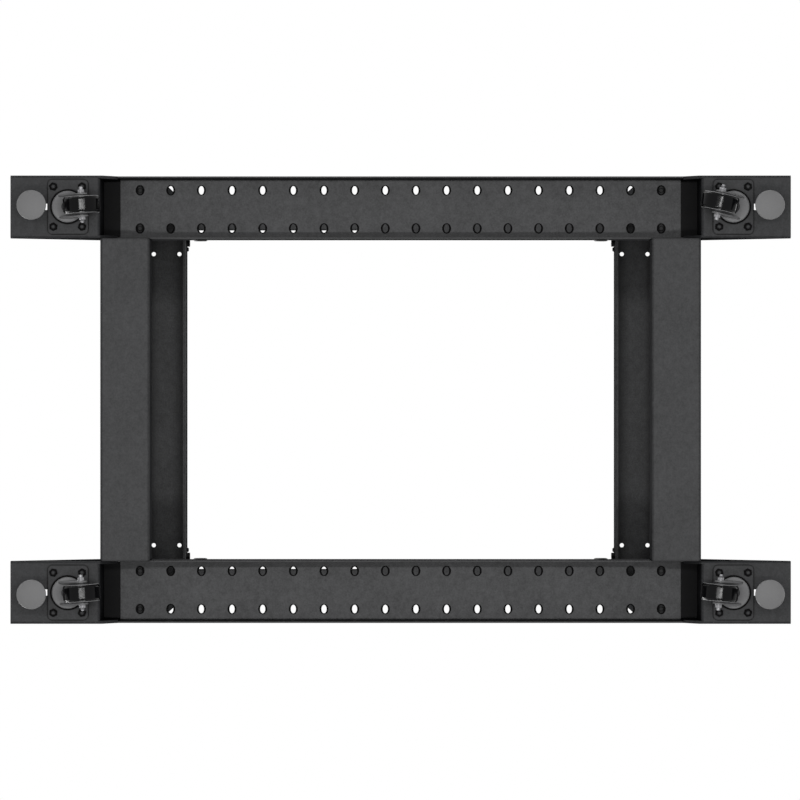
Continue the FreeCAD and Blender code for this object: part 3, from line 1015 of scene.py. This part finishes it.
# ------------------------------------------------------------------ levelling feet
@dataclass
class LevellingFoot:
    """Round pad on a threaded stud, turned by the hexagon above the pad."""

    workshop: Workshop
    pad_radius: float = 0.0195
    pad_height: float = 0.0060
    rim: float = 0.0012
    flare: float = 0.0060
    flare_foot: float = 0.0004
    flare_rise: float = 0.0020
    neck_radius: float = 0.0090
    neck_height: float = 0.0140
    neck_draft: float = 0.0008
    neck_chamfer: float = 0.0010
    hex_flats: float = 0.0140
    hex_height: float = 0.0070
    hex_rounding: float = 0.0005
    stud_radius: float = 0.0050
    pitch: float = 0.0015

    def pad(self) -> Piece:
        """Makes the moulded pad.

        Returns:
            The pad, with its rounded rim and its neck.
        """
        r, h, rim, neck, top = self.pad_radius, self.pad_height, self.rim, self.neck_radius, self.neck_height
        profile = [(0.0, 0.0), (r - rim, 0.0), (r - 0.3 * rim, 0.3 * rim), (r, rim), (r, h - 2 * rim),
                   (r - 0.4 * rim, h - 0.9 * rim), (r - 1.4 * rim, h - 0.2 * rim),
                   (neck + self.flare, h + self.flare_foot), (neck + self.flare / 2, h + self.flare_rise),
                   (neck + self.neck_draft, top - self.neck_chamfer), (neck, top), (0.0, top)]
        return Bench.turned("pad", profile, 56, 30.0)

    def fit(self, corner: Corner) -> None:
        """Makes a levelling foot and puts it in the place of its plain solid.

        Args:
            corner: the foot's corner.
        """
        node, body = "levelling_foot_" + corner.value, "leveller_" + corner.value
        low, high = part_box(node)
        place = Matrix.Translation(((low.x + high.x) / 2, (low.y + high.y) / 2, low.z))
        self.workshop.make("pad_" + corner.value, PAD, body, [(self.pad(), place)], node)
        neck = self.neck_height
        turner = Bench.rod("turner", self.hex_flats / math.sqrt(3), neck, neck + self.hex_height, 6)
        Bench.bevel(turner, self.hex_rounding, 2, 50.0)
        stud = Bench.threaded("stud", self.stud_radius, (neck, high.z - low.z), self.pitch, 20)
        self.workshop.make("stud_" + corner.value, ZINC, body, [(turner, place), (stud, place)])


# ------------------------------------------------------------------ casters
@dataclass
class Wheel:
    """Moulded wheel with two domed covers, each in a thin light ring that paints the highlight on the cover's rim.
    Its axle lies along Z.
    """

    axle_radius: float = 0.0027
    play: float = 0.0002
    width: float = 0.0195
    tread_round: float = 0.0022
    tread_side: float = 1.3                 # from the wheel's side to the flat tread, in roundings
    shoulder: float = 0.0040
    hub_width: float = 0.0262
    hub_flat: float = 0.0062
    cover_lip: float = 0.0012
    cover_lip_height: float = 0.0006
    cover_sunk: float = 0.0002
    cover_edge: float = 0.0113              # the dome's rim, from the wheel's middle
    cover_swell: float = 2.4                # power by which the dome falls
    ring_radius: float = 0.0225
    # the light ring that paints the highlight on a cover's rim
    highlight_ring_level: float = 0.0108
    highlight_ring_half: float = 0.0007

    @property
    def bore(self) -> float:
        """Radius of the bore for the axle."""
        return self.axle_radius + self.play

    def tyre(self, radius: float) -> Piece:
        """The wheel's body and rounded tread.

        Args:
            radius: radius of the tread.

        Returns:
            The wheel.
        """
        half, crown = self.width / 2, self.tread_round
        flat = half - self.tread_side * crown
        turns = [math.radians(degrees) for degrees in (90, 70, 50, 30, 10)]
        side = [(radius - crown + crown * math.sin(a), half - crown + crown * math.cos(a)) for a in turns]
        lower = [(r, -z) for r, z in side[::-1]]
        shoulder = radius - self.shoulder
        profile = [(self.bore, -half), (shoulder, -half), *lower, (radius, -flat), (radius, flat), *side,
                   (shoulder, half), (self.bore, half), (self.bore, -half)]
        return Bench.turned("wheel", profile, 64, 30.0)

    def cover(self, side: int) -> Piece:
        """A domed side cover.

        Args:
            side: -1 or 1, the way that it bulges.

        Returns:
            The cover.
        """
        r, seat, top = self.ring_radius, self.width / 2 - self.cover_sunk, self.hub_width / 2
        rim, drop = r + self.cover_lip, top - self.cover_edge
        dome = [(r * k, top - drop * k ** self.cover_swell) for k in (1.0, 0.88, 0.74, 0.58, 0.40)]
        profile = [(self.bore, seat), (rim, seat), (rim, seat + self.cover_lip_height), *dome,
                   (self.hub_flat, top), (self.bore, top), (self.bore, seat)]
        return Bench.turned("cover", [(radius, side * along) for radius, along in profile], 56, 30.0)

    def ring(self, side: int) -> Piece:
        """A thin light ring round a side cover, which paints the highlight along the cover's rim.

        Args:
            side: -1 or 1, the cover's side.

        Returns:
            The ring.
        """
        level, thick = self.highlight_ring_level, self.highlight_ring_half
        inner, outer = self.ring_radius - thick, self.ring_radius + thick
        profile = [(inner, level - thick), (outer, level - thick), (outer, level + thick * 0.6),
                   (self.ring_radius + thick * 0.4, level + thick), (inner, level + thick),
                   (inner, level - thick)]
        return Bench.turned("ring", [(radius, side * along) for radius, along in profile], 56, 30.0)


@dataclass
class Caster:
    """Swivel caster: pressed yoke, axle bolt and moulded wheel under a bolted plate."""

    workshop: Workshop
    fasteners: Fasteners
    wheel: Wheel
    sheet: float = 0.0020
    gap: float = 0.0270
    crown_radius: float = 0.0212
    # the crown's underside: radius and depth, and then its rim: inset and depth
    crown_dish: Outline = ((0.0052, 0.0026), (0.009, 0.0026), (0.012, 0.0032))
    crown_rim: Outline = ((0.0012, 0.0034), (0.0002, 0.0026), (0.0, 0.0016), (0.0006, 0.0004), (0.002, 0.0))
    eye_radius: float = 0.0080
    # where each run of a leg ends, as shares of the trail and the rise, and its widening there
    leg_ends: tuple[Outline, ...] = (((0.80, 0.62), (1.45, 0.15)), ((0.92, 0.98), (1.15, 0.0)))
    leg_rounding: float = 0.0005
    # the near-black ring that paints the shade of the gap round the crown
    shade_ring_radius: float = 0.0233
    shade_ring_lap: float = 0.0005
    shade_ring_height: float = 0.0009
    shade_ring_chamfer: float = 0.0002
    shade_ring_play: float = 0.0001
    axle_flats: float = 0.0085
    axle_flange: float = 0.0047
    axle_flange_height: float = 0.0010
    axle_flange_rounding: float = 0.0003
    axle_hex_seat: float = 0.0008
    axle_head_height: float = 0.0048
    axle_nut_height: float = 0.0044
    axle_hex_rounding: float = 0.0006
    axle_reach: float = 0.0480
    bolt_x: float = 0.0268
    bolt_y: float = 0.0192
    stub_proud: float = 0.0020
    # turns of nuts and heads in degrees, by their side in x and in y
    nut_turns: tuple[float, float] = (11.0, 23.0)
    head_turns: tuple[float, float] = (31.0, -17.0)
    plate_sheet: float = 0.0025
    # a thin dark frame round the plate's edge, which paints the shade of the gap between plate and foot
    shade_frame_lap: float = 0.0006
    shade_frame_width: float = 0.0030
    shade_frame_sheet: float = 0.0022
    shade_frame_corner: float = 0.0070

    def shade_ring(self, level: float) -> Piece:
        """The near-black ring round the crown, under the upper race, which paints the shade of the gap round the
        crown.

        Args:
            level: height of its underside.

        Returns:
            The seal, about the Z axis.
        """
        inner, outer, top = self.crown_radius - self.shade_ring_lap, self.shade_ring_radius, level + self.shade_ring_height
        cut = self.shade_ring_chamfer
        return Bench.turned("shade_ring", [(inner, level), (outer - cut, level), (outer, level + cut),
                                     (outer, top), (inner, top), (inner, level)], 48)

    def leg(self, trail: float, rise: float) -> Piece:
        """One flat leg of the yoke, from the axle's eye to the crown, lying on its side.

        Args:
            trail: how far the axle lies behind the swivel.
            rise: height of the crown's underside above the axle.

        Returns:
            The leg, with its eye at the origin.
        """
        leg = Bench.rod("leg", self.eye_radius, 0.0, self.sheet, 32)
        with Bench.editing(leg):
            Bench.pick(leg, Element.FACE, lambda face: abs(face.normal.z) < 0.5 and face.normal.y > 0.05)
            before = (0.0, 0.0)
            for (along, up), widening in self.leg_ends:
                end = (trail * along, rise * up)
                step = (end[0] - before[0], end[1] - before[1], 0)
                bpy.ops.mesh.extrude_region_move(TRANSFORM_OT_translate={"value": step})
                bpy.ops.transform.resize(value=(*widening, 1.0), center_override=(*end, 0))
                before = end
        return Bench.bevel(leg, self.leg_rounding, 2, 45.0)

    def yoke(self, top: float, trail: float, axle: float) -> Piece:
        """Pressed yoke: a dished crown and two legs, trailing towards -Y, the swivel on the Z axis.

        Args:
            top: height of the crown.
            trail: how far the axle lies behind the swivel.
            axle: height of the axle.

        Returns:
            The yoke.
        """
        dish = [(radius, top - depth) for radius, depth in self.crown_dish]
        rim = [(self.crown_radius - inset, top - depth) for inset, depth in self.crown_rim]
        crown = Bench.turned("crown", [*dish, *rim, (dish[0][0], top), dish[0]], 48)
        legs = []
        for side in SQUARE:
            leg = self.leg(trail, top - self.sheet - axle)
            offset = side * (self.gap + self.sheet) / 2 - self.sheet / 2
            upright = Matrix(((0, 0, 1, offset), (1, 0, 0, -trail), (0, 1, 0, axle), (0, 0, 0, 1)))
            legs.append(Bench.copy(leg, upright))
            bpy.data.objects.remove(leg)
        return Bench.smooth(Bench.join("yoke", [crown] + legs), 35.0)

    def axle_bolt(self) -> Piece:
        """Makes the axle bolt.

        Returns:
            The bolt, with its flanged head and its locking nut, along Z.
        """
        radius, seat = self.wheel.axle_radius, self.gap / 2 + self.sheet
        proud = self.axle_reach / 2 - seat
        parts = []
        for side, height in zip(SQUARE, (self.axle_head_height, self.axle_nut_height)):
            block = Bench.rod("hex", self.axle_flats / math.sqrt(3), self.axle_hex_seat, height, 6)
            Bench.bevel(block, self.axle_hex_rounding, 2, 50.0)
            flange = Bench.rod("flange", self.axle_flange, 0.0, self.axle_flange_height, 24)
            Bench.bevel(flange, self.axle_flange_rounding, 1, 60.0)
            if side > 0:
                tip = Bench.threaded("tip", radius, (0.0, proud), self.fasteners.thread_pitch, 16)
            else:
                tip = Bench.rod("tip", radius, 0.0, proud, 16)
            end = Bench.join("end", [block, flange, tip])
            parts.append(Bench.copy(end, Bench.seat(Vector((0, 0, side * seat)), UP * side)))
            bpy.data.objects.remove(end)
        pin = Bench.rod("pin", radius, -seat, seat, 20)
        return Bench.join("axle", parts + [pin])

    def shade_frame(self, size: Vector) -> Piece:
        """A thin dark frame with round corners that shows round the plate's edge and paints the shade of the gap
        between plate and foot.

        Args:
            size: its outer size.

        Returns:
            The gasket, its middle at the origin.
        """
        Bench.clear()
        bpy.ops.mesh.primitive_cube_add(size=1.0, location=(0, 0, 0))
        ring = bpy.context.active_object
        with Bench.editing(ring, "SELECT"):
            bpy.ops.transform.resize(value=size)
            Bench.pick(ring, Element.EDGE,
                       lambda edge: abs(edge.verts[0].co.z - edge.verts[1].co.z) > size.z / 2)
            bpy.ops.mesh.bevel(offset=self.shade_frame_corner, segments=6)
            Bench.pick(ring, Element.FACE, lambda face: abs(face.normal.z) > 0.9)
            bpy.ops.mesh.inset(thickness=self.shade_frame_width)
            bpy.ops.mesh.bridge_edge_loops()
        return ring

    def fit_plate(self, corner: Corner) -> None:
        """Bolts the caster's plate under the foot, with a thin dark frame round its edge that paints the shade of
        the gap.

        Args:
            corner: the caster's corner.
        """
        low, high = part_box("caster_plate_" + corner.value)
        centre, tools = (low + high) / 2, self.fasteners
        under, above = high.z - self.plate_sheet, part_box("foot_" + corner.value)[0].z + self.sheet
        reach = (0.0, tools.nut_height + self.stub_proud)
        nut = tools.hex_block("nut", 0.0, tools.nut_height)
        stub = Bench.threaded("stub", tools.bolt_radius, reach, tools.thread_pitch, 12)
        head = tools.hex_block("head", 0.0, tools.head_height)
        nuts, ends = [], []
        for x in SQUARE:
            for y in SQUARE:
                spot = Vector((centre.x + x * self.bolt_x, centre.y + y * self.bolt_y, under))
                nut_turn, head_turn = (x * a + y * b for a, b in (self.nut_turns, self.head_turns))
                place = Bench.seat(spot, DOWN, nut_turn)
                spot.z = above
                nuts.append((nut, place))
                ends += [(stub, place), (head, Bench.seat(spot, UP, head_turn))]
        self.workshop.make("plate_nuts_" + corner.value, OXIDE_AND_SHADE, "frame", nuts)
        self.workshop.make("plate_bolts_" + corner.value, PLATE, "frame", ends)
        lap = 2 * self.shade_frame_lap
        size = Vector((high.x - low.x + lap, high.y - low.y + lap, self.shade_frame_sheet))
        place = Matrix.Translation((centre.x, centre.y, high.z - size.z / 2))
        self.workshop.make("plate_shade_frame_" + corner.value, SHADE_BLACK, "frame", [(self.shade_frame(size), place)])

    def fit(self, corner: Corner) -> None:
        """Makes a caster's pieces in the places of its plain solids.

        Args:
            corner: the caster's corner.
        """
        name, make, wheel = corner.value, self.workshop.make, self.wheel
        spin = joint("spin_" + name)
        pivot, hub = Vector(joint("swivel_" + name)["pos_m"]), Vector(spin["pos_m"])
        trail_way = Vector((hub.x - pivot.x, hub.y - pivot.y, 0))
        back = trail_way.normalized()
        sideways = back.cross(UP).normalized()
        upright = Matrix(((-sideways.x, -back.x, 0, pivot.x), (-sideways.y, -back.y, 0, pivot.y),
                          (0, 0, 1, 0), (0, 0, 0, 1)))
        lying = Bench.seat(hub, Vector(spin["axis"]).normalized())
        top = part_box("caster_fork_" + name)[1].z
        wheel_low, wheel_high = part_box("caster_wheel_" + name)
        yoke = self.yoke(top, trail_way.length, hub.z)
        make("yoke_" + name, PRESSED, "fork_" + name, [(yoke, upright)], "caster_fork_" + name)
        tyre = wheel.tyre((wheel_high.z - wheel_low.z) / 2)
        make("wheel_" + name, NYLON, "wheel_" + name, [(tyre, lying)], "caster_wheel_" + name)
        covers = [(wheel.cover(side), lying) for side in SQUARE]
        make("wheel_covers_" + name, NYLON, "wheel_" + name, covers, "wheel_guards_" + name)
        # light rings that paint the highlight on the covers' rims
        highlight_rings = [(wheel.ring(side), lying) for side in SQUARE]
        make("wheel_highlight_rings_" + name, PRESSED, "wheel_" + name, highlight_rings)
        bolt = [(self.axle_bolt(), lying)]
        make("axle_bolt_" + name, ZINC, "fork_" + name, bolt, "caster_axle_" + name)
        # near-black ring that paints the shade round the crown
        shade_ring = [(self.shade_ring(top + self.shade_ring_play), Matrix.Translation((pivot.x, pivot.y, 0)))]
        make("race_shade_ring_" + name, SHADE_BLACK, "frame", shade_ring)
        self.fit_plate(corner)


# ------------------------------------------------------------------ studio
@dataclass(frozen=True)
class Lamp:
    """A soft lamp that the camera doesn't see. Its power is in watts."""

    name: str
    place: tuple[float, float, float]
    size: tuple[float, float]
    power: float
    aim: tuple[float, float, float] = (0.0, 0.0, 0.7)


@dataclass
class Studio:
    """Floor, lamps, surroundings and camera."""

    lens: float = 240.4
    sensor: float = 36.0
    camera_depth: float = 7.073
    camera_reach: float = 100.0
    shift_x: float = -0.0008
    shift_y: float = -0.0004
    floor_size: float = 60.0
    floor_colour: tuple[float, ...] = (0.92, 0.92, 0.92, 1.0)
    white: tuple[float, ...] = (1.0, 1.0, 1.0, 1.0)
    fade_start: float = 1.4
    fade_end: float = 3.6
    room_light: float = 0.28
    lamps: tuple[Lamp, ...] = (
        Lamp("lower_left", (-0.42, 0.0, -4.5), (0.11, 3.0), 64.0, (-0.42, 0.0, 0.5)),
        Lamp("lower_right", (0.42, 0.0, -4.5), (0.11, 3.0), 64.0, (0.42, 0.0, 0.5)),
        Lamp("key", (-3.2, -3.0, 4.6), (2.6, 2.6), 190.0),
        Lamp("fill", (3.8, -1.5, 2.6), (2.4, 2.4), 80.0),
        Lamp("back", (0.5, 4.2, 3.6), (2.4, 2.4), 90.0))

    def floor(self) -> None:
        """A pale floor that shows from above only, lit near the rack and white further out."""
        Bench.clear()
        bpy.ops.mesh.primitive_plane_add(size=self.floor_size, location=(0, 0, 0))
        floor = bpy.context.active_object
        floor.name = "floor"
        for rays in ("shadow", "diffuse", "glossy", "transmission"):
            setattr(floor, "visible_" + rays, False)
        material = bpy.data.materials.new("pale_floor")
        graph = Graph.cleared(material)
        paint = graph.add("BsdfDiffuse", {"Color": self.floor_colour}).outputs["BSDF"]
        far = graph.add("Emission").outputs["Emission"]
        place = graph.add("TexCoord").outputs["Object"]
        distance = graph.add("VectorMath", {0: place}, operation="LENGTH").outputs["Value"]
        fade = graph.add("MapRange", {"Value": distance, "From Min": self.fade_start,
                                      "From Max": self.fade_end}, interpolation_type="SMOOTHSTEP")
        above = graph.add("MixShader", {"Fac": fade.outputs["Result"], 1: paint, 2: far}).outputs["Shader"]
        behind = graph.add("NewGeometry").outputs["Backfacing"]
        clear = graph.add("BsdfTransparent").outputs["BSDF"]
        seen = graph.add("MixShader", {"Fac": behind, 1: above, 2: clear}).outputs["Shader"]
        graph.add("OutputMaterial", {"Surface": seen})
        floor.data.materials.append(material)

    def light(self, lamp: Lamp) -> None:
        """Sets up a lamp.

        Args:
            lamp: the lamp.
        """
        data = bpy.data.lights.new(lamp.name, "AREA")
        data.shape = "RECTANGLE"
        data.size, data.size_y = lamp.size
        data.energy = lamp.power
        stand = bpy.data.objects.new(lamp.name, data)
        stand.location = lamp.place
        way = Vector(lamp.aim) - Vector(lamp.place)
        stand.rotation_euler = way.to_track_quat("-Z", "Y").to_euler()
        stand.visible_camera = False
        bpy.context.scene.collection.objects.link(stand)

    def room(self) -> None:
        """White surroundings for the camera and reflections, and a softer light for the rest."""
        world = bpy.data.worlds.new("room")
        bpy.context.scene.world = world
        graph = Graph.cleared(world)
        path = graph.add("LightPath")
        seen = path.outputs["Is Camera Ray"]
        for ray in ("Is Glossy Ray", "Is Transmission Ray"):
            seen = graph.add("Math", {0: seen, 1: path.outputs[ray]}, operation="MAXIMUM").outputs["Value"]
        soft = graph.add("Background", {"Color": self.white, "Strength": self.room_light})
        bright = graph.add("Background", {"Color": self.white})
        mix = graph.add("MixShader", {"Fac": seen, 1: soft.outputs["Background"],
                                      2: bright.outputs["Background"]})
        graph.add("OutputWorld", {"Surface": mix.outputs["Shader"]})

    def camera(self) -> None:
        """A long lens below the rack that looks straight up, the rack's rear to the right."""
        data = bpy.data.cameras.new("camera")
        data.lens = self.lens
        data.sensor_width = self.sensor
        data.shift_x, data.shift_y = self.shift_x, self.shift_y
        data.clip_end = self.camera_reach
        camera = bpy.data.objects.new("camera", data)
        camera.matrix_world = Matrix(((0, 1, 0, 0), (1, 0, 0, 0), (0, 0, -1, -self.camera_depth),
                                      (0, 0, 0, 1)))
        bpy.context.scene.collection.objects.link(camera)
        bpy.context.scene.camera = camera

    def set_up(self) -> None:
        """Builds the whole studio."""
        bpy.context.scene.view_settings.view_transform = "Standard"
        self.floor()
        self.room()
        for lamp in self.lamps:
            self.light(lamp)
        self.camera()


def main() -> None:
    """Builds the rack's looks in order."""
    logging.basicConfig(level=logging.INFO, format="%(name)s: %(message)s")
    workshop = Workshop(Finishes())
    for node in frame["nodes"]:
        workshop.dress(node)
    fasteners = Fasteners(workshop)
    feet = LevellingFoot(workshop)
    casters = Caster(workshop, fasteners, Wheel())
    shade_strips = ShadeStrip(workshop)
    rims = SlotRims(workshop)
    for side in ("left", "right"):
        rims.fit(side)
    for corner in Corner:
        fasteners.fit_post(corner)
        fasteners.fit_top(corner)
        fasteners.fit_rail(corner)
        shade_strips.fit(corner)
        feet.fit(corner)
        casters.fit(corner)
    Studio().set_up()


if __name__ == "__main__":
    main()
